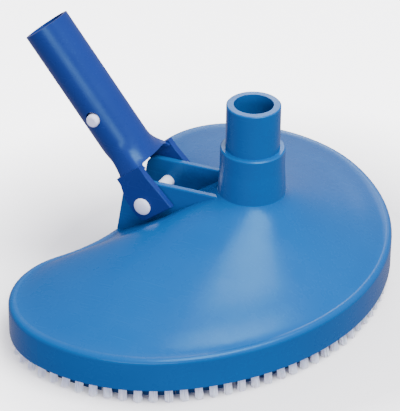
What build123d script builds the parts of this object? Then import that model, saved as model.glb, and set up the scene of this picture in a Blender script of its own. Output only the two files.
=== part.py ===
from build123d import *
import os
from math import atan2, cos, degrees, exp, hypot, pi, radians, sin, sqrt

os.makedirs("parts", exist_ok=True)

# Half-moon suction head for cleaning a pool floor, with a pivoting pole handle.
# All sizes in mm.  The origin is on the hose spigot's axis, level with the
# bristle tips.  +Z is up, +X is to the right seen from behind the handle's
# concave side, +Y is towards the handle and the concave rear edge.

# ---- overall sizes of the head -------------------------------------------
HEAD_WIDTH = 285.0        # across both lobes
FRONT_REACH = 79.0        # spigot axis to the convex front edge
REAR_REACH = 107.5        # spigot axis to the rear tips of the lobes
WAIST_REACH = 82.0        # spigot axis to the middle of the concave rear edge
WIDEST_Y = 43.0           # how far behind the spigot the head is widest
LOBE_RADIUS = 53.5        # rear end of each lobe
SIDE_RADIUS = 100.0       # side edge between the front edge and the lobe
BRISTLE_DROP = 9.2        # bristle length showing below the skirt
RIM_HEIGHT = 29.5         # top edge of the skirt above the bristle tips
COLLAR_BASE_HEIGHT = 69.0  # where the dome meets the collar
COLLAR_TOP_HEIGHT = 100.0  # step between the collar and the spigot
SPIGOT_TOP_HEIGHT = 128.0

# ---- hose end -------------------------------------------------------------
SPIGOT_DIAMETER = 32.0
COLLAR_DIAMETER = 38.4    # straight upper part, takes the next hose size up
COLLAR_BASE_DIAMETER = 40.6
COLLAR_STRAIGHT = 12.0    # length of the straight upper part
BORE_DIAMETER = 23.4

# ---- shell ----------------------------------------------------------------
SHELL_WALL = 3.0
RIM_ROUND = 3.0           # rounding along the top edge of the skirt
SKIRT_LIP = 1.8           # thin lip outside the brush strips
DOME_STRAIGHT = 0.74      # share of the dome's rise that is a straight cone
DOME_CURVE = 2.2          # how sharply the rest of the rise gathers at the collar
RIB_THICKNESS = 2.2
RIB_DEPTH = 6.0

# ---- brush strips ---------------------------------------------------------
STRIP_HEIGHT = 8.0
STRIP_INNER_INSET = 13.2  # inner edge of the strip from the skirt's outer face
STRIP_RECESS = 0.3        # strip sits this far above the lip's edge
STRIP_END_GAP = 0.6       # gap between neighbouring strips
TUFT_DIAMETER = 4.7
TUFT_TIP_DIAMETER = 5.4
TUFT_PITCH = 8.6
TUFT_INSET = 5.2          # tuft root centre from the skirt's outer face
TUFT_SPLAY = 9.0          # outward lean in degrees
TUFT_SOCKET_DEPTH = 5.6
LIP_INSET = 7.9            # outer face of the strip's hanging lip, behind the tufts
LIP_THICKNESS = 1.4
LIP_GAP = 0.9              # lip's lower edge above the bristle tips
ANCHOR_THICKNESS = 0.4
STRIP_SCREW_PITCH = 74.0
STRIP_SCREW_INSET = 10.2
SCREW_SHANK = 3.0
SCREW_HEAD = 5.4
SCREW_HEAD_HEIGHT = 2.2
SCREW_LENGTH = 11.0
BOSS_DIAMETER = 7.6

# ---- ballast --------------------------------------------------------------
BALLAST_DIAMETER = 60.0
BALLAST_THICKNESS = 9.0
BALLAST_BOTTOM = 17.5
BALLAST_SCREW_RADIUS = 20.0
BALLAST_SHIFT = 4.0       # disc centre inboard of the lobe's centre

# ---- ears and pivot -------------------------------------------------------
EAR_GAP = 25.0            # clear space between the two ears
EAR_THICKNESS = 4.0
EAR_TOP_FRONT = 69.5      # height of the ears' top edge at the collar
EAR_TOP_REAR = 67.0       # height of the ears' top edge at the rear corner
EAR_CORNER_ROUND = 7.0
EAR_END_SLOPE = 6.5       # how far the ears' rear edge leans inwards
PIVOT_Y = 61.6
PIVOT_Z = 53.3
PIN_DIAMETER = 8.0
PIN_HEAD_DIAMETER = 10.8
PIN_HEAD_HEIGHT = 2.3
PIN_END_DIAMETER = 5.6

# ---- handle ---------------------------------------------------------------
HANDLE_ANGLE = 51.2       # lift of the handle above the horizontal as drawn
HANDLE_LENGTH = 120.5     # pivot to the open end
TUBE_DIAMETER = 28.8
TUBE_WALL = 2.5
FLARE_START = 39.5        # pivot to where the tube begins to widen
FLARE_STEP = 0.05         # tiny parting step where tube and flare meet
FORK_SHOULDER = 18.6      # pivot to the bottom edge of the flared part
FORK_END = 8.8            # pivot to the arms' ends
FORK_FRONT = 17.4         # arm's end corner, on the spigot side of the handle's axis
FORK_BACK = 9.1           # arm's edge on the other side
FORK_NECK_FRONT = 14.0    # the same two edges where the arm leaves the flare
FORK_NECK_BACK = 5.0
FORK_CORNER_ROUND = 4.5   # rounding of the end corner away from the spigot
ARM_THICKNESS = 4.1
ARCH_RISE = 3.0           # arch cut into the flare's spigot side
ARCH_WIDTH = 30.0

# ---- sprung pole clip -----------------------------------------------------
BUTTON_POSITION = 58.5    # pivot to the buttons along the handle
BUTTON_DIAMETER = 8.0
BUTTON_PROUD = 2.3        # how far a button stands out of the tube
CLIP_FOOT = 31.0          # pivot to the bend of the clip
CLIP_TOP = 66.0           # pivot to the free ends of the clip's legs
CLIP_THICKNESS = 1.3
CLIP_WIDTH = 6.6
CLIP_FOOT_SPREAD = 2.4    # half spread of the legs at the bend

# ---- clearances -----------------------------------------------------------
PIN_CLEARANCE = 0.05      # radial, pin in the arms' holes
PIN_EAR_CLEARANCE = 0.02  # radial, pin in the ears' holes
ARM_CLEARANCE = 0.4       # each side, between arm and ear
PIN_HEAD_CLEARANCE = 0.3  # under the pin's head and its cap
STRIP_CLEARANCE = 0.25    # strip inside the lip
TUFT_CLEARANCE = 0.02
SCREW_CLEARANCE = 0.1
BUTTON_CLEARANCE = 0.8    # radial, button in the tube's hole
BUTTON_HOLE_SHIFT = 0.5   # hole centre above the resting button, as the button rises when pressed


# ---- derived sizes --------------------------------------------------------
side_x = HEAD_WIDTH / 2 - SIDE_RADIUS
lobe_y = REAR_REACH - LOBE_RADIUS
lobe_x = side_x + sqrt((SIDE_RADIUS - LOBE_RADIUS) ** 2 - (lobe_y - WIDEST_Y) ** 2)
front_depth = FRONT_REACH + WIDEST_Y
front_radius = (side_x ** 2 + front_depth ** 2 - SIDE_RADIUS ** 2) / (2 * (front_depth - SIDE_RADIUS))
waist_rise = WAIST_REACH - lobe_y
waist_radius = (lobe_x ** 2 - LOBE_RADIUS ** 2 + waist_rise ** 2) / (2 * LOBE_RADIUS - 2 * waist_rise)

strip_bottom = BRISTLE_DROP + STRIP_RECESS
strip_top = strip_bottom + STRIP_HEIGHT
ear_inner = EAR_GAP / 2
ear_outer = ear_inner + EAR_THICKNESS
arm_inner = ear_outer + ARM_CLEARANCE
arm_outer = arm_inner + ARM_THICKNESS
tube_radius = TUBE_DIAMETER / 2
bore_radius = tube_radius - TUBE_WALL
collar_base_radius = COLLAR_BASE_DIAMETER / 2


# ---- plan outline of the head ----------------------------------------------
def outline_arcs(inset):
    """Right-hand half of the outline as (centre x, y, radius, start, end) arcs."""
    ax, ay = 0.0, front_radius - FRONT_REACH
    bx, by = side_x, WIDEST_Y
    turn_ab = atan2(by - ay, bx - ax)
    turn_bc = atan2(lobe_y - by, lobe_x - bx)
    dy = WAIST_REACH + waist_radius
    turn_cd = atan2(dy - lobe_y, -lobe_x)
    back = atan2(lobe_y - dy, lobe_x)
    return [
        (ax, ay, front_radius - inset, -pi / 2, turn_ab),
        (bx, by, SIDE_RADIUS - inset, turn_ab, turn_bc),
        (lobe_x, lobe_y, LOBE_RADIUS - inset, turn_bc, turn_cd),
        (0.0, dy, waist_radius + inset, back, -pi / 2),
    ]


def outline_face(inset):
    """Flat face bounded by the outline moved inwards by the inset."""
    edges = []
    for cx, cy, r, a0, a1 in outline_arcs(inset):
        pts = []
        for f in (0.0, 0.5, 1.0):
            a = a0 + (a1 - a0) * f
            pts.append((cx + r * cos(a), cy + r * sin(a)))
        edges.append(Edge.make_three_point_arc(*[Vector(x, y) for x, y in pts]))
        edges.append(Edge.make_three_point_arc(*[Vector(-x, y) for x, y in reversed(pts)]))
    return Face(Wire.combine(edges)[0])


def half_length(inset):
    """Length of one half of the outline."""
    return sum(r * abs(a1 - a0) for _, _, r, a0, a1 in outline_arcs(inset))


def outline_point(inset, distance):
    """Point and outward normal at a distance along the whole outline.

    The distance runs anticlockwise from the middle of the front edge.
    """
    half = half_length(inset)
    distance = distance % (2 * half)
    mirror = distance > half
    left = 2 * half - distance if mirror else distance
    for cx, cy, r, a0, a1 in outline_arcs(inset):
        length = r * abs(a1 - a0)
        if left <= length + 1e-9:
            a = a0 + (a1 - a0) * left / length
            sign = 1.0 if a1 > a0 else -1.0
            x, y = cx + r * cos(a), cy + r * sin(a)
            nx, ny = sign * cos(a), sign * sin(a)
            break
        left -= length
    if mirror:
        x, nx = -x, -nx
    return x, y, nx, ny


def arc_ends(inset):
    """Distances along the right-hand half at which its arcs end."""
    total = 0.0
    ends = []
    for _, _, r, a0, a1 in outline_arcs(inset):
        total += r * abs(a1 - a0)
        ends.append(total)
    return ends


def slab(inset, bottom, top):
    """Upright prism of the outline."""
    return extrude(Pos(0, 0, bottom) * outline_face(inset), top - bottom)


# ---- dome -------------------------------------------------------------------
def dome_height(f, rim, crown):
    """Height of the dome at fraction f of the way from collar to rim."""
    g = 1.0 - f
    return rim + (crown - rim) * (DOME_STRAIGHT * g + (1.0 - DOME_STRAIGHT) * g ** DOME_CURVE)


def dome(throat_radius, rim_inset, rim, crown, flare):
    """Solid under a dome swept from a round throat out to the head's outline."""
    steps = [0.0, 0.04, 0.12, 0.24, 0.38, 0.54, 0.70, 0.85, 1.0]
    count = 48
    wires = []
    for f in steps:
        pts = []
        z = dome_height(f, rim, crown) + flare * exp(-f / 0.02)
        length = 2 * half_length(rim_inset)
        for i in range(count):
            x, y, _, _ = outline_point(rim_inset, length * i / count)
            turn = 2 * pi * i / count - pi / 2
            cx, cy = throat_radius * cos(turn), throat_radius * sin(turn)
            pts.append(Vector(cx + (x - cx) * f, cy + (y - cy) * f, z))
        wires.append(Wire([Edge.make_spline(pts, periodic=True)]))
    return Solid.make_loft(wires, ruled=False)


def cylinder_at(x, y, radius, bottom, top):
    """Upright cylinder between two heights."""
    return Pos(x, y, (bottom + top) / 2) * Cylinder(radius, top - bottom)


def fastener(x, y, z, length):
    """Flat-headed screw pointing up, with the underside of its head at height z."""
    shank = cylinder_at(x, y, SCREW_SHANK / 2, z, z + length)
    head = cylinder_at(x, y, SCREW_HEAD / 2, z, z + SCREW_HEAD_HEIGHT)
    slot = Pos(x, y, z + 0.4) * Box(SCREW_HEAD, 0.9, 0.8)
    cross = Pos(x, y, z + 0.4) * Box(0.9, SCREW_HEAD, 0.8)
    return (shank + head) - slot - cross


# ---- screw positions ---------------------------------------------------------
def split_distances(inset):
    """Distances along the outline at which neighbouring strips meet."""
    ends = arc_ends(inset)
    total = 2 * half_length(inset)
    return [ends[0], ends[2], total - ends[2], total - ends[0]]


def strip_spans(inset):
    """Start and end distance of each strip, keyed by its name."""
    a, b, c, d = split_distances(inset)
    total = 2 * half_length(inset)
    return {
        "front": (d - total, a),
        "right": (a, b),
        "rear": (b, c),
        "left": (c, d),
    }


def spaced(start, end, pitch, least):
    """Evenly spaced distances inside a span, half a step in from each end."""
    count = max(least, round((end - start) / pitch))
    step = (end - start) / count
    return [start + step * (i + 0.5) for i in range(count)]


screw_spots = []
for first, last in strip_spans(STRIP_SCREW_INSET).values():
    for d in spaced(first, last, STRIP_SCREW_PITCH, 2):
        sx, sy, _, _ = outline_point(STRIP_SCREW_INSET, d)
        screw_spots.append((sx, sy))

ballast_top = BALLAST_BOTTOM + BALLAST_THICKNESS
ballast_pilot_top = BALLAST_BOTTOM + SCREW_LENGTH + 1.0
ballast_spots = {}
for side, sign in (("left", -1.0), ("right", 1.0)):
    cx = sign * (lobe_x - BALLAST_SHIFT)
    cy = lobe_y - BALLAST_SHIFT / 2
    spots = []
    for k in range(3):
        turn = radians(90 + 120 * k)
        spots.append((cx + BALLAST_SCREW_RADIUS * cos(turn), cy + BALLAST_SCREW_RADIUS * sin(turn)))
    ballast_spots[side] = (cx, cy, spots)


# ---- shell --------------------------------------------------------------------
skirt = slab(0.0, BRISTLE_DROP, RIM_HEIGHT)
skirt = fillet(skirt.edges().group_by(Axis.Z)[-1], RIM_ROUND)
outer = skirt + dome(collar_base_radius, RIM_ROUND + 0.15, RIM_HEIGHT - 0.12, COLLAR_BASE_HEIGHT, 2.0)

inner_ceiling = RIM_HEIGHT - SHELL_WALL
inner_dome = dome(BORE_DIAMETER / 2 + 3.0, SHELL_WALL + RIM_ROUND, inner_ceiling - 0.3,
                  COLLAR_BASE_HEIGHT - 9.0, 0.0)
hollow = slab(SHELL_WALL, strip_top, inner_ceiling) + inner_dome
rabbet = slab(SKIRT_LIP, BRISTLE_DROP - 1.0, strip_top)

collar_straight_z = COLLAR_TOP_HEIGHT - COLLAR_STRAIGHT
collar_profile = Polyline(
    (0, COLLAR_BASE_HEIGHT - 6.0),
    (collar_base_radius - 0.2, COLLAR_BASE_HEIGHT - 6.0),
    (collar_base_radius - 0.05, COLLAR_BASE_HEIGHT),
    (COLLAR_DIAMETER / 2, collar_straight_z),
    (COLLAR_DIAMETER / 2, COLLAR_TOP_HEIGHT - 0.8),
    (COLLAR_DIAMETER / 2 - 0.8, COLLAR_TOP_HEIGHT),
    (SPIGOT_DIAMETER / 2, COLLAR_TOP_HEIGHT),
    (SPIGOT_DIAMETER / 2, SPIGOT_TOP_HEIGHT - 0.6),
    (SPIGOT_DIAMETER / 2 - 0.6, SPIGOT_TOP_HEIGHT),
    (0, SPIGOT_TOP_HEIGHT),
    close=True,
)
collar = revolve(Plane.XZ * make_face(collar_profile), Axis.Z)

ear_rear_y = WAIST_REACH + 0.2
ear_top_y = ear_rear_y - EAR_END_SLOPE
ear_profile = Polyline(
    (12.0, 40.0),
    (12.0, EAR_TOP_FRONT),
    (collar_base_radius, EAR_TOP_FRONT),
    (ear_top_y, EAR_TOP_REAR),
    (ear_rear_y, RIM_HEIGHT - 2.0),
    (ear_rear_y - 20.0, RIM_HEIGHT - 2.0),
    close=True,
)
ear_face = make_face(ear_profile)
ear_corner = ear_face.vertices().sort_by(Axis.X).filter_by(
    lambda v: abs(v.X - ear_top_y) < 0.01 and abs(v.Y - EAR_TOP_REAR) < 0.01)
ear_face = fillet(ear_corner, EAR_CORNER_ROUND)
ear_plate = extrude(Plane.YZ * ear_face, EAR_THICKNESS)
pin_axis_hole = Pos(0, PIVOT_Y, PIVOT_Z) * Rot(0, 90, 0) * Cylinder(
    PIN_DIAMETER / 2 + PIN_EAR_CLEARANCE, 4 * arm_outer)

shell = outer + collar
for x0 in (ear_inner, -ear_outer):
    plate = Pos(x0, 0, 0) * ear_plate
    crest = plate.edges().filter_by(lambda e: e.center().Z > RIM_HEIGHT + 4 and e.center().Y > 25
                                    and abs(e.tangent_at(0.5).X) < 0.5)
    plate = fillet(crest, 0.8)
    shell = shell + plate

# Screw bosses and stiffening ribs are left standing inside the hollow.
bosses = []
for sx, sy in screw_spots:
    bosses.append(cylinder_at(sx, sy, BOSS_DIAMETER / 2, strip_top, COLLAR_BASE_HEIGHT))
for _, _, spots in ballast_spots.values():
    for sx, sy in spots:
        bosses.append(cylinder_at(sx, sy, BOSS_DIAMETER / 2, ballast_top, COLLAR_BASE_HEIGHT))
lowered = Pos(0, 0, -RIB_DEPTH) * hollow
for turn in (-40.0, -140.0, -90.0):
    rib = Rot(0, 0, turn) * Pos(0.25 * HEAD_WIDTH + BORE_DIAMETER, 0, 45.0) * Box(
        0.5 * HEAD_WIDTH, RIB_THICKNESS, 90.0)
    bosses.append(rib - lowered)
hollow = hollow - bosses
shell = shell - hollow - rabbet - pin_axis_hole
shell = shell - cylinder_at(0, 0, BORE_DIAMETER / 2, 20.0, SPIGOT_TOP_HEIGHT + 1.0)
pilots = []
for sx, sy in screw_spots:
    pilots.append(cylinder_at(sx, sy, SCREW_SHANK / 2, strip_top - 1.0, strip_bottom + SCREW_LENGTH + 1.0))
for _, _, spots in ballast_spots.values():
    for sx, sy in spots:
        pilots.append(cylinder_at(sx, sy, SCREW_SHANK / 2, ballast_top - 1.0, ballast_pilot_top))
shell = shell - pilots

export_step(shell, "parts/body_shell.step")

# ---- brush strips, tufts and their anchors ----------------------------------------
ring = slab(SKIRT_LIP + STRIP_CLEARANCE, strip_bottom, strip_top)
ring = ring - slab(STRIP_INNER_INSET, strip_bottom - 1.0, strip_top + 1.0)
lip = slab(LIP_INSET, LIP_GAP, strip_bottom + 0.5) - slab(LIP_INSET + LIP_THICKNESS, 0.0, strip_bottom + 1.0)
ring = ring + lip
cuts = []
for d in split_distances(TUFT_INSET):
    x, y, nx, ny = outline_point(TUFT_INSET, d)
    cut = Pos(x, y, strip_top / 2) * Rot(0, 0, degrees(atan2(ny, nx))) * Box(
        4 * STRIP_INNER_INSET, STRIP_END_GAP, strip_top + 4.0)
    cuts.append(cut)
for sx, sy in screw_spots:
    cuts.append(cylinder_at(sx, sy, SCREW_SHANK / 2 + SCREW_CLEARANCE, strip_bottom - 1.0, strip_top + 1.0))
    cuts.append(cylinder_at(sx, sy, SCREW_HEAD / 2 + SCREW_CLEARANCE, 0.0, strip_bottom + SCREW_HEAD_HEIGHT))
ring = ring - cuts

tuft_top = strip_bottom + TUFT_SOCKET_DEPTH - ANCHOR_THICKNESS
lean = (strip_bottom) * sin(radians(TUFT_SPLAY)) / cos(radians(TUFT_SPLAY))
for name, (first, last) in strip_spans(TUFT_INSET).items():
    tufts = []
    anchors = []
    sockets = []
    for d in spaced(first, last, TUFT_PITCH, 3):
        x, y, nx, ny = outline_point(TUFT_INSET, d)
        root = Wire.make_circle(TUFT_DIAMETER / 2, Plane(origin=(x, y, tuft_top)))
        mouth = Wire.make_circle(TUFT_DIAMETER / 2, Plane(origin=(x, y, strip_bottom)))
        tip = Wire.make_circle(TUFT_TIP_DIAMETER / 2, Plane(origin=(x + lean * nx, y + lean * ny, 0.0)))
        tufts.append(Solid.make_loft([root, mouth, tip], ruled=True))
        anchors.append(Pos(x, y, tuft_top + ANCHOR_THICKNESS / 2) * Rot(0, 0, degrees(atan2(ny, nx))) * Box(
            1.4, TUFT_DIAMETER - 0.9, ANCHOR_THICKNESS))
        sockets.append(cylinder_at(x, y, TUFT_DIAMETER / 2 + TUFT_CLEARANCE, strip_bottom - 1.0,
                                   strip_bottom + TUFT_SOCKET_DEPTH))
    mx, my, _, _ = outline_point(TUFT_INSET, (first + last) / 2)
    strip = min(ring.solids(), key=lambda s: min(hypot(v.X - mx, v.Y - my) for v in [
        s.center(CenterOf.MASS)] + list(s.vertices())))
    strip = strip - Compound(sockets)
    export_step(strip, f"parts/strip_{name}.step")
    export_step(Compound(tufts), f"parts/tufts_{name}.step")
    export_step(Compound([a.solid() for a in anchors]), f"parts/anchors_{name}.step")

strip_screws = [fastener(sx, sy, strip_bottom, SCREW_LENGTH).solid() for sx, sy in screw_spots]
export_step(Compound(strip_screws), "parts/strip_screws.step")

# ---- ballast discs ------------------------------------------------------------------
ballast_screws = []
for side, (cx, cy, spots) in ballast_spots.items():
    disc = cylinder_at(cx, cy, BALLAST_DIAMETER / 2, BALLAST_BOTTOM, ballast_top)
    disc = chamfer(disc.edges().filter_by(GeomType.CIRCLE), 0.8)
    for sx, sy in spots:
        disc = disc - cylinder_at(sx, sy, SCREW_SHANK / 2 + SCREW_CLEARANCE, 0.0, ballast_top + 1.0)
        disc = disc - cylinder_at(sx, sy, SCREW_HEAD / 2 + SCREW_CLEARANCE, 0.0, BALLAST_BOTTOM + SCREW_HEAD_HEIGHT)
        ballast_screws.append(fastener(sx, sy, BALLAST_BOTTOM, SCREW_LENGTH).solid())
    export_step(disc, f"parts/ballast_{side}.step")
export_step(Compound(ballast_screws), "parts/ballast_screws.step")

# ---- handle ---------------------------------------------------------------------------
bend_outer = CLIP_FOOT_SPREAD + CLIP_THICKNESS / 2
# Drawn upright about the pivot: local Z runs up the handle, local -Y faces the spigot.
handle_frame = Plane(
    origin=(0, PIVOT_Y, PIVOT_Z),
    x_dir=(1, 0, 0),
    z_dir=(0, cos(radians(HANDLE_ANGLE)), sin(radians(HANDLE_ANGLE))),
).location


def rounded_box_point(turn, half_x, y_low, y_high, corner):
    """Point on a rounded rectangle in the direction of an angle about its middle."""
    mid = (y_low + y_high) / 2
    half_y = (y_high - y_low) / 2
    c, s = cos(turn), sin(turn)
    n = corner
    r = (abs(c / half_x) ** n + abs(s / half_y) ** n) ** (-1.0 / n)
    return r * c, mid + r * s


def flare_solid(round_radius, half_x, y_low, y_high, z_round, z_square, power):
    """Solid widening from a circle up the handle to a squared section at its foot."""
    wires = []
    steps = 7
    count = 48
    for k in range(steps):
        u = k / (steps - 1)
        f = u ** power
        z = z_round + (z_square - z_round) * u
        pts = []
        for i in range(count):
            turn = 2 * pi * i / count
            rx, ry = rounded_box_point(turn, half_x, y_low, y_high, 7.0)
            cx, cy = round_radius * cos(turn), round_radius * sin(turn)
            pts.append(Vector(cx + (rx - cx) * f, cy + (ry - cy) * f, z))
        wires.append(Wire([Edge.make_spline(pts, periodic=True)]))
    return Solid.make_loft(wires, ruled=False)


tube = Pos(0, 0, (FLARE_START + HANDLE_LENGTH) / 2) * Cylinder(tube_radius, HANDLE_LENGTH - FLARE_START)
flare = flare_solid(tube_radius - FLARE_STEP, arm_outer, -FORK_NECK_FRONT, FORK_NECK_BACK,
                    FLARE_START, FORK_SHOULDER, 1.9)
inside = flare_solid(bore_radius - FLARE_STEP, arm_inner, -FORK_NECK_FRONT + TUBE_WALL, FORK_NECK_BACK - TUBE_WALL,
                     FLARE_START, FORK_SHOULDER - 0.05, 1.9)
arm_face = make_face(Polyline(
    (-FORK_NECK_FRONT, FORK_SHOULDER + 3.0),
    (-FORK_NECK_FRONT, FORK_SHOULDER),
    (-FORK_FRONT, -FORK_END),
    (FORK_BACK - 1.5, -FORK_END),
    (FORK_BACK, 0),
    (FORK_BACK - 0.6, FORK_SHOULDER / 2),
    (FORK_NECK_BACK, FORK_SHOULDER),
    (FORK_NECK_BACK, FORK_SHOULDER + 3.0),
    close=True,
))
end_corner = arm_face.vertices().filter_by(lambda v: v.X > 0 and abs(v.Y + FORK_END) < 0.01)
arm_face = fillet(end_corner, FORK_CORNER_ROUND)
arm = extrude(Plane.YZ * arm_face, ARM_THICKNESS)
fork = tube + flare
for x0 in (arm_inner, -arm_outer):
    plate = Pos(x0, 0, 0) * arm
    rim_edges = plate.edges().filter_by(lambda e: e.center().Z < FORK_SHOULDER and abs(e.tangent_at(0.5).X) < 0.5)
    plate = fillet(rim_edges, 0.7)
    fork = fork + plate
fork = fork - inside
fork = fork - Pos(0, 0, (FLARE_START + HANDLE_LENGTH) / 2) * Cylinder(bore_radius, HANDLE_LENGTH - FLARE_START + 2.0)
arch = Pos(0, -FORK_NECK_FRONT, FORK_SHOULDER) * Rot(90, 0, 0) * extrude(
    RectangleRounded(ARCH_WIDTH, 2 * ARCH_RISE, ARCH_RISE * 0.7), 9.0, both=True)
fork = fork - arch
fork = fork - Rot(0, 90, 0) * Cylinder(PIN_DIAMETER / 2 + PIN_CLEARANCE, 4 * arm_outer)
fork = fork - Pos(0, 0, BUTTON_POSITION + BUTTON_HOLE_SHIFT) * Rot(0, 90, 0) * Cylinder(
    BUTTON_DIAMETER / 2 + BUTTON_CLEARANCE, 2 * TUBE_DIAMETER)
# Cross bar inside the tube that the clip's bend rests on.
bar = Pos(0, 0, CLIP_FOOT - bend_outer - 1.1) * Box(4.0, 2 * bore_radius + 1.0, 2.0)
fork = fork + (bar & (tube + flare))
export_step(handle_frame * fork, "parts/handle_fork.step")

# ---- pivot pin and its cap ---------------------------------------------------------------
grip = 2 * (arm_outer + PIN_HEAD_CLEARANCE)
pin_head_face = grip / 2
shank = Rot(0, 90, 0) * Cylinder(PIN_DIAMETER / 2, grip)
head = Pos(-pin_head_face - PIN_HEAD_HEIGHT / 2, 0, 0) * Rot(0, 90, 0) * Cylinder(
    PIN_HEAD_DIAMETER / 2, PIN_HEAD_HEIGHT)
head = fillet(head.edges().sort_by(Axis.X)[0], 1.5)
nose = Pos(pin_head_face + 0.75, 0, 0) * Rot(0, 90, 0) * Cylinder(PIN_END_DIAMETER / 2, 1.5)
pin = Pos(0, PIVOT_Y, PIVOT_Z) * (shank + head + nose)
export_step(pin, "parts/pivot_pin.step")
cap = Pos(pin_head_face + PIN_HEAD_HEIGHT / 2, 0, 0) * Rot(0, 90, 0) * Cylinder(
    PIN_HEAD_DIAMETER / 2, PIN_HEAD_HEIGHT)
cap = fillet(cap.edges().sort_by(Axis.X)[-1], 1.5)
cap = cap - nose
export_step(Pos(0, PIVOT_Y, PIVOT_Z) * cap, "parts/pin_cap.step")

# ---- sprung clip ----------------------------------------------------------------------------
button_reach = tube_radius + BUTTON_PROUD
leg_top_x = bore_radius - 1.9 - CLIP_THICKNESS / 2
rise = CLIP_TOP - CLIP_FOOT
leg_tilt = degrees(atan2(leg_top_x - CLIP_FOOT_SPREAD, rise))
leg_length = hypot(leg_top_x - CLIP_FOOT_SPREAD, rise)
bend = Pos(0, 0, CLIP_FOOT) * Rot(90, 0, 0) * (
    Cylinder(bend_outer, CLIP_WIDTH) - Cylinder(bend_outer - CLIP_THICKNESS, CLIP_WIDTH + 1.0))
bend = bend - Pos(0, 0, CLIP_FOOT + bend_outer) * Box(4 * bend_outer, 2 * CLIP_WIDTH, 2 * bend_outer)
export_step(handle_frame * bend, "parts/clip_bend.step")
button_f = (BUTTON_POSITION - CLIP_FOOT) / rise
button_x = CLIP_FOOT_SPREAD + (leg_top_x - CLIP_FOOT_SPREAD) * button_f
for side, sign in (("left", -1.0), ("right", 1.0)):
    leg = Pos(CLIP_FOOT_SPREAD, 0, CLIP_FOOT) * Rot(0, leg_tilt, 0) * Pos(0, 0, leg_length / 2 + 0.2) * Box(
        CLIP_THICKNESS, CLIP_WIDTH, leg_length - 0.4)
    knob = Pos((button_x + button_reach) / 2, 0, BUTTON_POSITION) * Rot(0, 90, 0) * Cylinder(
        BUTTON_DIAMETER / 2, button_reach - button_x)
    knob = fillet(knob.edges().sort_by(Axis.X)[-1], 1.6)
    leg = leg + knob
    if sign < 0:
        leg = mirror(leg, about=Plane.YZ)
    export_step(handle_frame * leg, f"parts/clip_leg_{side}.step")
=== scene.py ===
"""Looks for the half-moon pool suction head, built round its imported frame."""
import logging
import math
import random
from dataclasses import dataclass
from enum import Enum

import bmesh
import bpy
from mathutils import Matrix, Vector


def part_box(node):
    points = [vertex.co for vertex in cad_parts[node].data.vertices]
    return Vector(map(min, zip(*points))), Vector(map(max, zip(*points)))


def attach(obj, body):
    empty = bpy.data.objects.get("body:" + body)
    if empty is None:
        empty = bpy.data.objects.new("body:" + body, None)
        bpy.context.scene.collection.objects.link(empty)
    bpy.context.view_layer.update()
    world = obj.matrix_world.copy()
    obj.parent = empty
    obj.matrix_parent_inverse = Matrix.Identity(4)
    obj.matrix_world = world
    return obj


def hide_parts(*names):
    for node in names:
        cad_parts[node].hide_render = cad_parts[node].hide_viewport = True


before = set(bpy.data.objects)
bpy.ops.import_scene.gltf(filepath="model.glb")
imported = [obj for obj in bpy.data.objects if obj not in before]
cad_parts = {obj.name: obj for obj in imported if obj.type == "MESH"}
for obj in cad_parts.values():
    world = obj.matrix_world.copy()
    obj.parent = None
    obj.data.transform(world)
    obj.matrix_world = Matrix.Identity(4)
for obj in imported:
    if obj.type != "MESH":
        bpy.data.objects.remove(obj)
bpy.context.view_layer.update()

logging.basicConfig(level=logging.INFO, format="%(name)s: %(message)s")
log = logging.getLogger("pool_head")

GOLDEN_ANGLE = 2.399963     # radians between filaments, so that they fill a round tuft evenly
MIX_A, MIX_B, MIX_RESULT = 6, 7, 2    # a colour mix's two colours and its result
HEADING = -63.72            # the camera's azimuth in degrees, 0 looks along +Y

Colour = tuple[float, float, float]


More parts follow.
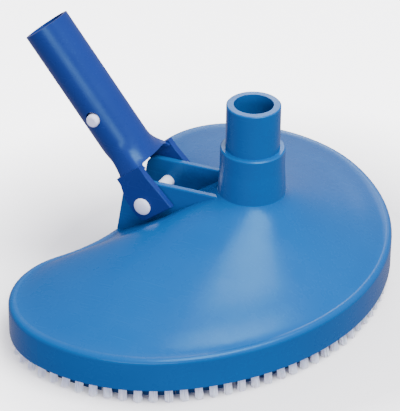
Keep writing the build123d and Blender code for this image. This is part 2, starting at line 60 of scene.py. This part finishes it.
# --------------------------------------------------------------------------- node helpers
class NodeTree:
    """A small helper that adds and links nodes in one material."""

    def __init__(self, name: str) -> None:
        """Start a material with an empty tree.

        Args:
            name: the material's name.
        """
        self.material = bpy.data.materials.new(name)
        self.material.use_nodes = True
        self.tree = self.material.node_tree
        self.tree.nodes.clear()
        self.out = self.add("ShaderNodeOutputMaterial")
        self.shader = self.add("ShaderNodeBsdfPrincipled")
        self.link(self.shader, "BSDF", self.out, "Surface")
        self.coord = self.add("ShaderNodeTexCoord")

    def add(self, kind: str, **settings: object) -> bpy.types.Node:
        """Add a node.

        Args:
            kind: the node's type name.
            settings: attributes, or input values given with spaces as underscores.

        Returns:
            The new node.
        """
        node = self.tree.nodes.new(kind)
        for key, value in settings.items():
            if hasattr(node, key):
                setattr(node, key, value)
            else:
                node.inputs[key.replace("_", " ")].default_value = value
        return node

    def link(self, a: bpy.types.Node, out: str | int, b: bpy.types.Node, into: str | int) -> None:
        """Link an output to an input."""
        self.tree.links.new(a.outputs[out], b.inputs[into])

    def set(self, **values: object) -> None:
        """Set the shader's own sockets, with spaces in their names as underscores."""
        for key, value in values.items():
            self.shader.inputs[key.replace("_", " ")].default_value = value

    def place(self, scale: tuple[float, float, float] = (1.0, 1.0, 1.0)) -> bpy.types.Node:
        """Object coordinates through a mapping.

        Args:
            scale: stretch along each axis.

        Returns:
            The mapping node.
        """
        mapping = self.add("ShaderNodeMapping")
        mapping.inputs["Scale"].default_value = scale
        self.link(self.coord, "Object", mapping, "Vector")
        return mapping

    def noise(self, scale: float, detail: float = 3.0, rough: float = 0.5,
              stretch: tuple[float, float, float] = (1.0, 1.0, 1.0)) -> bpy.types.Node:
        """Noise over object coordinates.

        Args:
            scale: cells per metre.
            detail: octaves.
            rough: roughness of the octaves.
            stretch: stretch along each axis.

        Returns:
            The noise node.
        """
        node = self.add("ShaderNodeTexNoise", Scale=scale, Detail=detail, Roughness=rough)
        self.link(self.place(stretch), "Vector", node, "Vector")
        return node

    def ramp(self, source: bpy.types.Node, out: str | int,
             low: float, high: float, a: float, b: float) -> bpy.types.Node:
        """Map a value from one range to another, clamped.

        Args:
            source: node that gives the value.
            out: its output.
            low: lowest input.
            high: highest input.
            a: value at the lowest input.
            b: value at the highest input.

        Returns:
            The map range node, whose output is Result.
        """
        node = self.add("ShaderNodeMapRange")
        for key, value in (("From Min", low), ("From Max", high), ("To Min", a), ("To Max", b)):
            node.inputs[key].default_value = value
        self.link(source, out, node, "Value")
        return node

    def mix(self, factor: bpy.types.Node, out: str | int,
            a: Colour, b: Colour) -> bpy.types.Node:
        """Mix two colours by a value.

        Args:
            factor: node that gives the value.
            out: its output.
            a: colour at 0.
            b: colour at 1.

        Returns:
            The mix node, whose output is MIX_RESULT.
        """
        node = self.add("ShaderNodeMix", data_type="RGBA")
        node.inputs[MIX_A].default_value = (*a, 1.0)
        node.inputs[MIX_B].default_value = (*b, 1.0)
        self.link(factor, out, node, 0)
        return node

    def bump(self, height: bpy.types.Node, out: str | int, strength: float, distance: float,
             after: bpy.types.Node | None = None) -> bpy.types.Node:
        """Add a bump.

        Args:
            height: node that gives the height.
            out: its output.
            strength: how strongly it shows.
            distance: depth in metres.
            after: an earlier bump to build on.

        Returns:
            The bump node.
        """
        node = self.add("ShaderNodeBump", Strength=strength, Distance=distance)
        self.link(height, out, node, "Height")
        if after is not None:
            self.link(after, "Normal", node, "Normal")
        return node


# --------------------------------------------------------------------------- finishes
@dataclass(frozen=True)
class MouldedPlastic:
    """Glossy moulded plastic with faint flow marks, orange peel and fine scuffs.

    Args:
        name: material name.
        colour: main colour.
        deep: colour in the flow marks.
        gloss: lowest and highest roughness.
        peel: strength of the orange peel.
        scuff: strength of the scuffs.
        sheen: colour of the highlights.
        flow_scale: flow marks per metre.
        flow_stretch: how much closer they lie along Z.
        wear_scale: worn patches per metre.
        scratch_scale: scratches per metre across their length.
        scratch_stretch: how much longer a scratch is than it is wide, as a fraction.
        wave_scale: slow waves per metre.
        peel_scale: dimples of the orange peel per metre.
        wave_depth: depth of the waves in metres.
        peel_depth: depth of the dimples in metres.
    """

    name: str
    colour: Colour
    deep: Colour
    gloss: tuple[float, float] = (0.22, 0.32)
    peel: float = 0.10
    scuff: float = 0.10
    sheen: Colour = (0.28, 0.72, 1.0)
    flow_scale: float = 14.0
    flow_stretch: float = 2.2
    wear_scale: float = 55.0
    scratch_scale: float = 900.0
    scratch_stretch: float = 0.035
    wave_scale: float = 30.0
    peel_scale: float = 520.0
    wave_depth: float = 0.0004
    peel_depth: float = 0.00025

    def make(self) -> bpy.types.Material:
        """Build the material.

        Returns:
            The material.
        """
        t = NodeTree(self.name)
        flow = t.noise(self.flow_scale, 4.0, 0.55, (1.0, 1.0, self.flow_stretch))
        shade = t.ramp(flow, "Fac", 0.30, 0.72, 0.0, 1.0)
        colour = t.mix(shade, "Result", self.colour, self.deep)
        t.link(colour, MIX_RESULT, t.shader, "Base Color")
        wear = t.noise(self.wear_scale, 6.0, 0.62)
        gloss = t.ramp(wear, "Fac", 0.32, 0.70, self.gloss[0], self.gloss[1])
        scratch = t.noise(self.scratch_scale, 1.0, 0.4, (1.0, self.scratch_stretch, 1.0))
        lines = t.ramp(scratch, "Fac", 0.64, 0.80, 0.0, self.scuff)
        total = t.add("ShaderNodeMath", operation="ADD", use_clamp=True)
        t.link(gloss, "Result", total, 0)
        t.link(lines, "Result", total, 1)
        t.link(total, 0, t.shader, "Roughness")
        peel = t.noise(self.peel_scale, 2.0, 0.5)
        waves = t.noise(self.wave_scale, 2.0, 0.4)
        first = t.bump(waves, "Fac", 0.12, self.wave_depth)
        second = t.bump(peel, "Fac", self.peel, self.peel_depth, first)
        t.link(second, "Normal", t.shader, "Normal")
        t.set(IOR=1.49, Specular_IOR_Level=0.26, Specular_Tint=(*self.sheen, 1.0))
        return t.material


@dataclass(frozen=True)
class BristleFibre:
    """Translucent nylon filament, darkened towards the strip by painted shade, so paler at the tips.

    Args:
        name: material name.
        shaded_root: colour near the strip, darkened as painted shade.
        tip: colour at the floor.
        fade_height: height in metres over which the tip's colour fades out.
        fade_share: share of the mix that the height gives, the rest is streaks.
        streak_scale: streaks per metre round a filament.
        streak_stretch: how much longer a streak is than it is wide, as a fraction.
    """

    name: str = "bristle_nylon"
    shaded_root: Colour = (0.62, 0.70, 0.92)
    tip: Colour = (0.94, 0.96, 1.0)
    fade_height: float = 0.0085
    fade_share: float = 0.7
    streak_scale: float = 900.0
    streak_stretch: float = 0.08

    def make(self) -> bpy.types.Material:
        """Build the material.

        Returns:
            The material.
        """
        t = NodeTree(self.name)
        split = t.add("ShaderNodeSeparateXYZ")
        t.link(t.coord, "Object", split, "Vector")
        height = t.ramp(split, "Z", 0.0, self.fade_height, 1.0, 0.0)
        streak = t.noise(self.streak_scale, 3.0, 0.6, (1.0, 1.0, self.streak_stretch))
        tint = t.add("ShaderNodeMath", operation="MULTIPLY_ADD", use_clamp=True)
        t.link(height, "Result", tint, 0)
        tint.inputs[1].default_value = self.fade_share
        some = t.ramp(streak, "Fac", 0.35, 0.65, 0.0, 0.35)
        t.link(some, "Result", tint, 2)
        # Painted shade: the colour darkens from the tip up towards the strip, under the skirt.
        colour = t.mix(tint, 0, self.shaded_root, self.tip)
        t.link(colour, MIX_RESULT, t.shader, "Base Color")
        gloss = t.ramp(streak, "Fac", 0.3, 0.7, 0.38, 0.55)
        t.link(gloss, "Result", t.shader, "Roughness")
        t.set(IOR=1.53, Subsurface_Weight=0.12, Subsurface_Scale=0.002)
        return t.material


@dataclass(frozen=True)
class CoatedIron:
    """Cast ballast under a dull dipped coat.

    Args:
        name: material name.
        colour: the coat's colour.
        worn: colour where it's worn thin.
        cast_scale: lumps of the casting per metre.
        cast_depth: their depth in metres.
    """

    name: str = "ballast_dip"
    colour: Colour = (0.035, 0.045, 0.060)
    worn: Colour = (0.10, 0.11, 0.12)
    cast_scale: float = 160.0
    cast_depth: float = 0.0006

    def make(self) -> bpy.types.Material:
        """Build the material.

        Returns:
            The material.
        """
        t = NodeTree(self.name)
        cast = t.noise(self.cast_scale, 6.0, 0.65)
        shade = t.ramp(cast, "Fac", 0.45, 0.75, 0.0, 1.0)
        colour = t.mix(shade, "Result", self.colour, self.worn)
        t.link(colour, MIX_RESULT, t.shader, "Base Color")
        gloss = t.ramp(cast, "Fac", 0.3, 0.7, 0.42, 0.68)
        t.link(gloss, "Result", t.shader, "Roughness")
        bump = t.bump(cast, "Fac", 0.35, self.cast_depth)
        t.link(bump, "Normal", t.shader, "Normal")
        return t.material


@dataclass(frozen=True)
class DrawnMetal:
    """Stainless steel or brass with fine tool marks.

    Args:
        name: material name.
        colour: the bright metal's colour.
        dull: colour in the marks.
        roughness: roughness of the bright metal.
        mark_scale: marks per metre.
        mark_stretch: how much longer a mark is than it is wide, as a fraction.
        mark_depth: depth of a mark in metres.
    """

    name: str
    colour: Colour
    dull: Colour
    roughness: float = 0.28
    mark_scale: float = 1400.0
    mark_stretch: float = 0.15
    mark_depth: float = 0.0001

    def make(self) -> bpy.types.Material:
        """Build the material.

        Returns:
            The material.
        """
        t = NodeTree(self.name)
        marks = t.noise(self.mark_scale, 3.0, 0.5, (1.0, self.mark_stretch, 1.0))
        shade = t.ramp(marks, "Fac", 0.35, 0.7, 0.0, 1.0)
        colour = t.mix(shade, "Result", self.colour, self.dull)
        t.link(colour, MIX_RESULT, t.shader, "Base Color")
        gloss = t.ramp(marks, "Fac", 0.3, 0.7, self.roughness, self.roughness + 0.2)
        t.link(gloss, "Result", t.shader, "Roughness")
        bump = t.bump(marks, "Fac", 0.15, self.mark_depth)
        t.link(bump, "Normal", t.shader, "Normal")
        t.set(Metallic=1.0)
        return t.material


class Finish(Enum):
    """The finishes used on the head."""

    SHELL = MouldedPlastic("shell_blue", (0.003, 0.076, 0.258), (0.002, 0.067, 0.236))
    # The handle's blue is a darker, purpler copy of the shell's blue: painted shade.
    SHADED_HANDLE = MouldedPlastic("handle_blue_painted_shade", (0.010, 0.030, 0.165), (0.009, 0.026, 0.150))
    # Navy of the brush strips; on the lip behind the tufts the same navy is painted shade seen between
    # the tufts.
    BRUSH_BASE_AND_SHADE = MouldedPlastic("brush_base_and_painted_shade_navy", (0.008, 0.030, 0.110), (0.006, 0.022, 0.085),
                                gloss=(0.45, 0.6))
    WHITE = MouldedPlastic("white_acetal", (0.72, 0.76, 0.90), (0.66, 0.70, 0.86),
                           gloss=(0.30, 0.42), peel=0.06, scuff=0.12, sheen=(1.0, 1.0, 1.0))
    BRISTLE = BristleFibre()
    BALLAST = CoatedIron()
    STEEL = DrawnMetal("screw_stainless", (0.60, 0.61, 0.63), (0.48, 0.49, 0.52))
    BRASS = DrawnMetal("anchor_brass", (0.62, 0.45, 0.17), (0.50, 0.35, 0.12), roughness=0.34)


_made: dict[Finish, bpy.types.Material] = {}


def finish_of(kind: Finish) -> bpy.types.Material:
    """The material of a finish, made once.

    Args:
        kind: which finish.

    Returns:
        The material.
    """
    if kind not in _made:
        _made[kind] = kind.value.make()
    return _made[kind]


def dress(node: str, kind: Finish) -> None:
    """Give a frame node a finish.

    Args:
        node: the node's name.
        kind: which finish.
    """
    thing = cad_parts[node]
    thing.data.materials.clear()
    thing.data.materials.append(finish_of(kind))
    log.info("%s dressed as %s", node, kind.name.lower())


def keep(bm: bmesh.types.BMesh, name: str, kind: Finish, body: str, slot: str,
         *nodes: str, smooth: bool = True) -> bpy.types.Object:
    """Turn a bmesh into a finished piece that rides on a body.

    Args:
        bm: the mesh being built. It is freed.
        name: piece name.
        kind: its finish.
        body: the body it rides on.
        slot: a material slot's name; not used.
        nodes: frame nodes that it stands for.
        smooth: whether its faces are shaded smooth.

    Returns:
        The piece.
    """
    mesh = bpy.data.meshes.new(name)
    bm.to_mesh(mesh)
    bm.free()
    mesh.polygons.foreach_set("use_smooth", [smooth] * len(mesh.polygons))
    mesh.materials.append(finish_of(kind))
    piece = bpy.data.objects.new(name, mesh)
    bpy.context.scene.collection.objects.link(piece)
    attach(piece, body)
    if nodes:
        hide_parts(*nodes)
    log.info("%s made with %d faces", name, len(mesh.polygons))
    return piece


# --------------------------------------------------------------------------- brush
@dataclass
class Tuft:
    """Where one tuft stands, read from the frame.

    Args:
        mouth: centre where it leaves the strip.
        tip: centre of its lower end.
        mouth_radius: radius where it leaves the strip.
        tip_radius: radius at its lower end.
    """

    mouth: Vector
    tip: Vector
    mouth_radius: float
    tip_radius: float


@dataclass
class BrushStrip:
    """One curved strip of the brush with its tufts of filaments.

    Args:
        side: which strip.
        filaments: filaments in a tuft.
        filament_radius: radius of one filament in metres.
        seed: seed for the small irregularities.
        lean: farthest that a whole tuft leans, in metres.
        tip_share: a filament's radius at its tip, as a share of its radius.
        tuck: how far a filament starts up inside the strip, in metres.
        uneven: most that a tip stands off the floor, in metres.
        outer_uneven: how much more the outermost ones may, in metres.
        knee: where a filament bends, as a share of its way down.
        swirl: most that a filament strays round the tuft, in radians.
        knee_spread: least and most that a bend is off its place, as a share.
        tip_spread: least and most that a tip is off its place, as a share.
        tip_inset: how far tips stay inside the tuft's edge, in filament radii.
        level_gap: points this close in height lie on one ring of a tuft, in metres.
    """

    side: str
    filaments: int = 60
    filament_radius: float = 0.00025
    seed: int = 7
    lean: float = 0.00035
    tip_share: float = 0.72
    tuck: float = 0.0012
    uneven: float = 0.0003
    outer_uneven: float = 0.0001
    knee: float = 0.45
    swirl: float = 0.2
    knee_spread: tuple[float, float] = (0.96, 1.02)
    tip_spread: tuple[float, float] = (0.94, 1.06)
    tip_inset: float = 0.7
    level_gap: float = 2e-5

    def tufts(self) -> list[Tuft]:
        """Read the tufts of this strip from its frame node.

        Returns:
            One entry for each tuft.
        """
        bm = bmesh.new()
        bm.from_mesh(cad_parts[f"tufts_{self.side}"].data)
        bmesh.ops.remove_doubles(bm, verts=bm.verts, dist=1e-6)
        seen: set[int] = set()
        found: list[Tuft] = []
        bm.verts.ensure_lookup_table()
        for start in bm.verts:
            if start.index in seen:
                continue
            island, stack = [], [start]
            seen.add(start.index)
            while stack:
                v = stack.pop()
                island.append(v.co.copy())
                for e in v.link_edges:
                    w = e.other_vert(v)
                    if w.index not in seen:
                        seen.add(w.index)
                        stack.append(w)
            levels = sorted({round(p.z, 5) for p in island})
            heights = (levels[len(levels) // 2], levels[0])
            rings = [[p for p in island if abs(p.z - z) < self.level_gap] for z in heights]
            mouth, tip = (sum(r, Vector()) / len(r) for r in rings)
            mouth_radius, tip_radius = (max((p - m).length for p in r)
                                        for r, m in zip(rings, (mouth, tip)))
            found.append(Tuft(mouth, tip, mouth_radius, tip_radius))
        bm.free()
        return found

    def filament(self, bm: bmesh.types.BMesh, start: Vector, bend: Vector, end: Vector) -> None:
        """Add one filament: a four-sided tapered rod through three points.

        Args:
            bm: mesh to add to.
            start: upper end.
            bend: point it bends at.
            end: lower end.
        """
        made = bmesh.ops.create_circle(bm, segments=4, radius=self.filament_radius, cap_ends=True,
                                       matrix=Matrix.Translation(start))
        verts = made["verts"]
        face = verts[0].link_faces[0]
        for place, before, size in ((bend, start, 1.0), (end, bend, self.tip_share)):
            out = bmesh.ops.extrude_discrete_faces(bm, faces=[face])
            face = out["faces"][0]
            ring = list(face.verts)
            bmesh.ops.translate(bm, verts=ring, vec=place - before)
            if size != 1.0:
                bmesh.ops.scale(bm, verts=ring, vec=(size, size, 1.0), space=Matrix.Translation(-place))

    def bundle(self, tuft: Tuft, rng: random.Random) -> bmesh.types.BMesh:
        """One tuft of filaments.

        Args:
            tuft: where it stands.
            rng: source of the small irregularities.

        Returns:
            A bmesh of the tuft.
        """
        bm = bmesh.new()
        lean = Vector((rng.uniform(-1, 1), rng.uniform(-1, 1), 0.0)) * self.lean
        room = tuft.mouth_radius - self.filament_radius
        spread = (tuft.tip_radius - self.tip_inset * self.filament_radius) / room
        for i in range(self.filaments):
            r = math.sqrt((i + 0.5) / self.filaments)
            turn = i * GOLDEN_ANGLE + rng.uniform(-self.swirl, self.swirl)
            off = Vector((math.cos(turn), math.sin(turn), 0.0)) * r * room
            drop = rng.uniform(0.0, self.uneven) + self.outer_uneven * r * r * rng.random()
            start = tuft.mouth + off + Vector((0, 0, self.tuck))
            end = tuft.tip + off * spread * rng.uniform(*self.tip_spread) + lean
            end.z = drop
            widen = 1.0 - self.knee + self.knee * spread
            bend = tuft.mouth.lerp(tuft.tip, self.knee) + off * widen * rng.uniform(*self.knee_spread)
            self.filament(bm, start, bend, end)
        return bm

    def build(self) -> None:
        """Make the strip's bristles and dress its plastic and anchors."""
        rng = random.Random(self.seed)
        whole = bmesh.new()
        for tuft in self.tufts():
            part = self.bundle(tuft, rng)
            mesh = bpy.data.meshes.new("tuft_part")
            part.to_mesh(mesh)
            part.free()
            whole.from_mesh(mesh)
            bpy.data.meshes.remove(mesh)
        bmesh.ops.recalc_face_normals(whole, faces=whole.faces)
        keep(whole, f"bristles_{self.side}", Finish.BRISTLE, "head", "bristle", f"tufts_{self.side}",
             smooth=False)
        # The strip's lip behind the tufts is dark navy as painted shade between the tufts.
        dress(f"strip_{self.side}", Finish.BRUSH_BASE_AND_SHADE)
        dress(f"anchors_{self.side}", Finish.BRASS)


# --------------------------------------------------------------------------- shell, ballast, fasteners
@dataclass
class Shell:
    """The moulded shell with its hose end and ears."""

    def build(self) -> None:
        """Dress the shell."""
        dress("body_shell", Finish.SHELL)


@dataclass
class Ballast:
    """Ballast discs and every screw under the head."""

    def build(self) -> None:
        """Dress the discs and the screws."""
        for side in ("left", "right"):
            dress(f"ballast_{side}", Finish.BALLAST)
        dress("ballast_screws", Finish.STEEL)
        dress("strip_screws", Finish.STEEL)


@dataclass
class Pivot:
    """The pin through the ears, with a crowned head, and the cap pushed on its far end.

    Args:
        shank_radius: radius of the shank, in metres.
        nose_radius: radius of the end that the cap is pushed on.
        head_radius: radius of the head and the cap.
        head_height: height of both.
        rim_height: height of their straight rim below the crown.
        chamfer: size of the small bevel under the rim.
        crown_edge: how much the crown's curve is drawn in at its rim, in metres.
        crown_steps: steps from the rim to the middle.
        steps: steps round each piece.
        sharp_angle: edges sharper than this many degrees stay crisp.
    """

    shank_radius: float = 0.0040
    nose_radius: float = 0.0028
    head_radius: float = 0.0054
    head_height: float = 0.0023
    rim_height: float = 0.0007
    chamfer: float = 0.0002
    crown_edge: float = 0.0004
    crown_steps: int = 8
    steps: int = 64
    sharp_angle: float = 35.0

    def crown(self, base: float, sign: float) -> list[tuple[float, float]]:
        """Profile of a crowned head from its rim to its middle.

        Args:
            base: where the head's flat side lies along X.
            sign: direction that the crown faces.

        Returns:
            Points as distance along X and radius.
        """
        rise = self.head_height - self.rim_height
        points = [(base, self.head_radius - self.chamfer),
                  (base + sign * self.chamfer, self.head_radius)]
        for k in range(self.crown_steps + 1):
            turn = 0.5 * math.pi * k / self.crown_steps
            radius = (self.head_radius - self.crown_edge) * math.cos(turn)
            radius += self.crown_edge * (1.0 - turn / (0.5 * math.pi))
            points.append((base + sign * (self.rim_height + rise * math.sin(turn)), radius))
        points[-1] = (base + sign * self.head_height, 0.0)
        return points

    def turned(self, name: str, profile: list[tuple[float, float]], y: float, z: float,
               node: str) -> None:
        """Spin a profile about the pivot's axis.

        Args:
            name: piece name.
            profile: points as distance along X and radius, first and last on the axis.
            y: the axis's place along Y.
            z: its height.
            node: the frame node it stands for.
        """
        bm = bmesh.new()
        verts = [bmesh.ops.create_vert(bm, co=(x, y, z + r))["vert"][0] for x, r in profile]
        edges = [bm.edges.new(pair) for pair in zip(verts, verts[1:])]
        bmesh.ops.spin(bm, geom=verts + edges, cent=(0.0, y, z), axis=(1.0, 0.0, 0.0),
                       dvec=(0.0, 0.0, 0.0), angle=2.0 * math.pi, steps=self.steps, use_merge=True)
        bmesh.ops.remove_doubles(bm, verts=bm.verts, dist=1e-6)
        bmesh.ops.recalc_face_normals(bm, faces=bm.faces)
        piece = keep(bm, name, Finish.WHITE, "head", "white_plastic", node)
        piece.data.set_sharp_from_angle(angle=math.radians(self.sharp_angle))

    def build(self) -> None:
        """Make the pin and its cap in the places of the frame's own."""
        low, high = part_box("pivot_pin")
        cap_low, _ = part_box("pin_cap")
        y, z = 0.5 * (low.y + high.y), 0.5 * (low.z + high.z)
        head_base = low.x + self.head_height
        shoulder = cap_low.x
        pin = [(high.x, 0.0), (high.x, self.nose_radius), (shoulder, self.nose_radius),
               (shoulder, self.shank_radius), (head_base, self.shank_radius)]
        self.turned("pivot_pin_turned", pin + self.crown(head_base, -1.0), y, z, "pivot_pin")
        cap = [(high.x, 0.0), (high.x, self.nose_radius), (shoulder, self.nose_radius)]
        self.turned("pin_cap_turned", cap + self.crown(shoulder, 1.0), y, z, "pin_cap")


@dataclass
class Handle:
    """The forked handle and the sprung clip inside it."""

    def build(self) -> None:
        """Dress the handle and the clip."""
        # The handle gets the darker, purpler blue that carries painted shade.
        dress("handle_fork", Finish.SHADED_HANDLE)
        for node in ("clip_bend", "clip_leg_left", "clip_leg_right"):
            dress(node, Finish.WHITE)


# --------------------------------------------------------------------------- camera and studio
@dataclass(frozen=True)
class Camera:
    """The viewpoint.

    Args:
        azimuth: angle round the object in degrees, 0 looks along +Y.
        elevation: angle above the horizon in degrees.
        distance: from the target to the camera, in metres.
        target: the point the axis passes near.
        slide_x: sideways offset of the view axis, in metres.
        slide_y: upward offset of the view axis, in metres.
        roll: turn about the view axis in degrees.
        lens: focal length in millimetres.
        sensor: width of the sensor in millimetres.
        near: nearest distance that's drawn, in metres.
        far: farthest.
    """

    azimuth: float = HEADING
    elevation: float = 31.13
    distance: float = 1.45505
    target: tuple[float, float, float] = (0.0, 0.0, 0.030)
    slide_x: float = 0.03039
    slide_y: float = -0.02507
    roll: float = 0.65
    lens: float = 213.2
    sensor: float = 36.0
    near: float = 0.05
    far: float = 20.0

    def make(self) -> bpy.types.Object:
        """Make the camera and set it as the scene's.

        Returns:
            The camera object.
        """
        az, el = math.radians(self.azimuth), math.radians(self.elevation)
        back = Vector((math.sin(az) * math.cos(el), -math.cos(az) * math.cos(el), math.sin(el)))
        right = Vector((math.cos(az), math.sin(az), 0.0))
        up = back.cross(right)
        place = Vector(self.target) + back * self.distance - right * self.slide_x - up * self.slide_y
        turn = Matrix((right, up, back)).transposed().to_4x4()
        data = bpy.data.cameras.new("camera")
        data.lens = self.lens
        data.sensor_width = self.sensor
        data.clip_start, data.clip_end = self.near, self.far
        camera = bpy.data.objects.new("camera", data)
        roll = Matrix.Rotation(math.radians(self.roll), 4, "Z")
        camera.matrix_world = Matrix.Translation(place) @ turn @ roll
        bpy.context.scene.collection.objects.link(camera)
        bpy.context.scene.camera = camera
        return camera


@dataclass(frozen=True)
class Softbox:
    """A rectangular soft light, placed relative to the camera's heading.

    Args:
        name: light name.
        right: metres to the camera's right of the object.
        forward: metres beyond the object, away from the camera.
        height: metres above the floor.
        width: size across the camera's heading.
        length: size along it.
        tilt: degrees that it's tipped away from facing straight down, positive aims it forward.
        power: watts.
        colour: light colour.
        heading: azimuth in degrees that right and forward are measured from.
    """

    name: str
    right: float
    forward: float
    height: float
    width: float
    length: float
    tilt: float
    power: float
    colour: Colour = (1.0, 1.0, 1.0)
    heading: float = HEADING

    def make(self) -> bpy.types.Object:
        """Make the light.

        Returns:
            The light object.
        """
        turn = math.radians(self.heading)
        data = bpy.data.lights.new(self.name, "AREA")
        data.shape = "RECTANGLE"
        data.size, data.size_y = self.width, self.length
        data.energy = self.power
        data.color = self.colour
        light = bpy.data.objects.new(self.name, data)
        light.location = (
            self.right * math.cos(turn) - self.forward * math.sin(turn),
            self.right * math.sin(turn) + self.forward * math.cos(turn),
            self.height,
        )
        light.rotation_euler = (math.radians(self.tilt), 0.0, turn)
        bpy.context.scene.collection.objects.link(light)
        return light


@dataclass
class Studio:
    """A pale floor with a painted glow away from the head, a pale surround and soft lights.

    Args:
        lights: the soft lights.
        surround: colour of the surround.
        strength: how bright the surround is.
        painted_floor_glow: strength of the painted glow that lifts the floor towards white away from
            the head; under the head it is left out, so the floor stays dark there as painted shade.
        painted_glow_from: distances in metres from the head over which the painted glow comes in.
        floor_reach: half the floor's width in metres.
        floor_drop: how far it lies below the tips of the bristles, in metres.
        floor_tones: the floor's two nearly equal colours.
    """

    lights: tuple[Softbox, ...] = (
        Softbox("overhead_light", 0.42, -0.48, 1.36, 0.80, 1.36, 0.0, 62.0, (1.0, 0.99, 0.97)),
        Softbox("strip_light", 0.07, 1.05, 0.95, 0.18, 1.30, -47.9, 5.0, (0.95, 0.98, 1.0)),
        Softbox("far_light", 0.3, 2.2, 0.9, 1.6, 0.8, -72.0, 8.0),
        Softbox("front_light", -0.4, -2.2, 0.50, 1.8, 0.6, 78.0, 34.0, (0.96, 0.92, 1.0)),
    )
    surround: Colour = (0.82, 0.78, 1.0)
    strength: float = 0.62
    painted_floor_glow: float = 3.0
    painted_glow_from: tuple[float, float] = (0.13, 0.24)
    floor_reach: float = 6.0
    floor_drop: float = 0.0002
    floor_tones: tuple[Colour, Colour] = ((0.93, 0.94, 0.96), (0.95, 0.955, 0.965))

    def make(self) -> None:
        """Make the floor, the surround and the lights."""
        bm = bmesh.new()
        bmesh.ops.create_grid(bm, x_segments=2, y_segments=2, size=self.floor_reach,
                              matrix=Matrix.Translation((0, 0, -self.floor_drop)))
        mesh = bpy.data.meshes.new("floor")
        bm.to_mesh(mesh)
        bm.free()
        t = NodeTree("floor_pale")
        tone = t.noise(3.0, 2.0, 0.5)
        mixed = t.mix(tone, "Fac", *self.floor_tones)
        t.link(mixed, MIX_RESULT, t.shader, "Base Color")
        # Painted light: the floor glows more the farther it lies from the head and not at all under it,
        # so the floor there stays dark as painted shade.
        reach = t.add("ShaderNodeVectorMath", operation="LENGTH")
        t.link(t.coord, "Object", reach, 0)
        painted_floor_glow = t.ramp(reach, "Value", *self.painted_glow_from, 0.0, self.painted_floor_glow)
        t.link(painted_floor_glow, "Result", t.shader, "Emission Strength")
        t.set(Roughness=0.95, Specular_IOR_Level=0.2, Emission_Color=(1.0, 1.0, 1.0, 1.0))
        mesh.materials.append(t.material)
        floor = bpy.data.objects.new("floor", mesh)
        floor.visible_glossy = False
        floor.visible_diffuse = False
        bpy.context.scene.collection.objects.link(floor)
        world = bpy.data.worlds.new("surround")
        world.use_nodes = True
        back = world.node_tree.nodes["Background"]
        back.inputs["Color"].default_value = (*self.surround, 1.0)
        back.inputs["Strength"].default_value = self.strength
        bpy.context.scene.world = world
        for light in self.lights:
            light.make()


def main() -> None:
    """Build the head's looks in order and report each piece."""
    Camera().make()
    Studio().make()
    Shell().build()
    for n, side in enumerate(("front", "right", "rear", "left")):
        BrushStrip(side, seed=7 + n).build()
    Ballast().build()
    Pivot().build()
    Handle().build()


if __name__ == "__main__":
    main()
